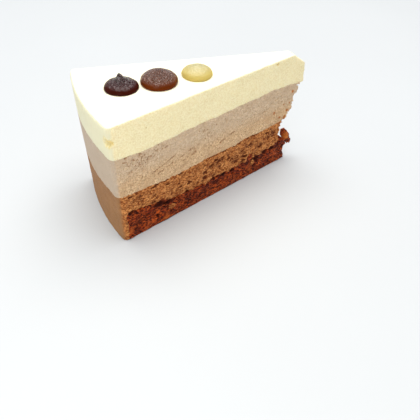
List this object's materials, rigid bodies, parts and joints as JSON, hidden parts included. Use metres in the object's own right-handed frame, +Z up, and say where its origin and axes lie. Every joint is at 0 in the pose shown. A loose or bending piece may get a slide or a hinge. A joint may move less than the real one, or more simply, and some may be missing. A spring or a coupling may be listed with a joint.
{
  "type": "slice of triple chocolate mousse cake",
  "caption": "Wedge of layered chocolate mousse cake on a crumbly brownie base, with white, milk and dark mousse and chocolate drops in a row on top.",
  "frame": {"origin": "centre of the slice's bounding box, on the surface that it stands on", "axes": "+Z up, +X along the slice's middle line towards its tip, with the round outer wall facing -X, and the cut face that the picture shows facing -Y"},
  "size_m": [0.1093, 0.052, 0.0676],
  "materials": {
    "brownie": "moist open dark brown crumb",
    "dark_mousse": "soft aerated cocoa brown",
    "milk_mousse": "soft aerated pale brown",
    "white_mousse": "smooth satin cream",
    "dark_chocolate": "glossy dark chocolate",
    "milk_chocolate": "glossy milk chocolate",
    "white_chocolate": "satin pale yellow white chocolate"
  },
  "bodies": {
    "root": {"brownie_base": "brownie", "dark_mousse": "dark_mousse", "milk_mousse": "milk_mousse", "white_mousse": "white_mousse", "drop_dark": "dark_chocolate", "drop_milk": "milk_chocolate", "drop_white": "white_chocolate"}
  },
  "joints": []
}
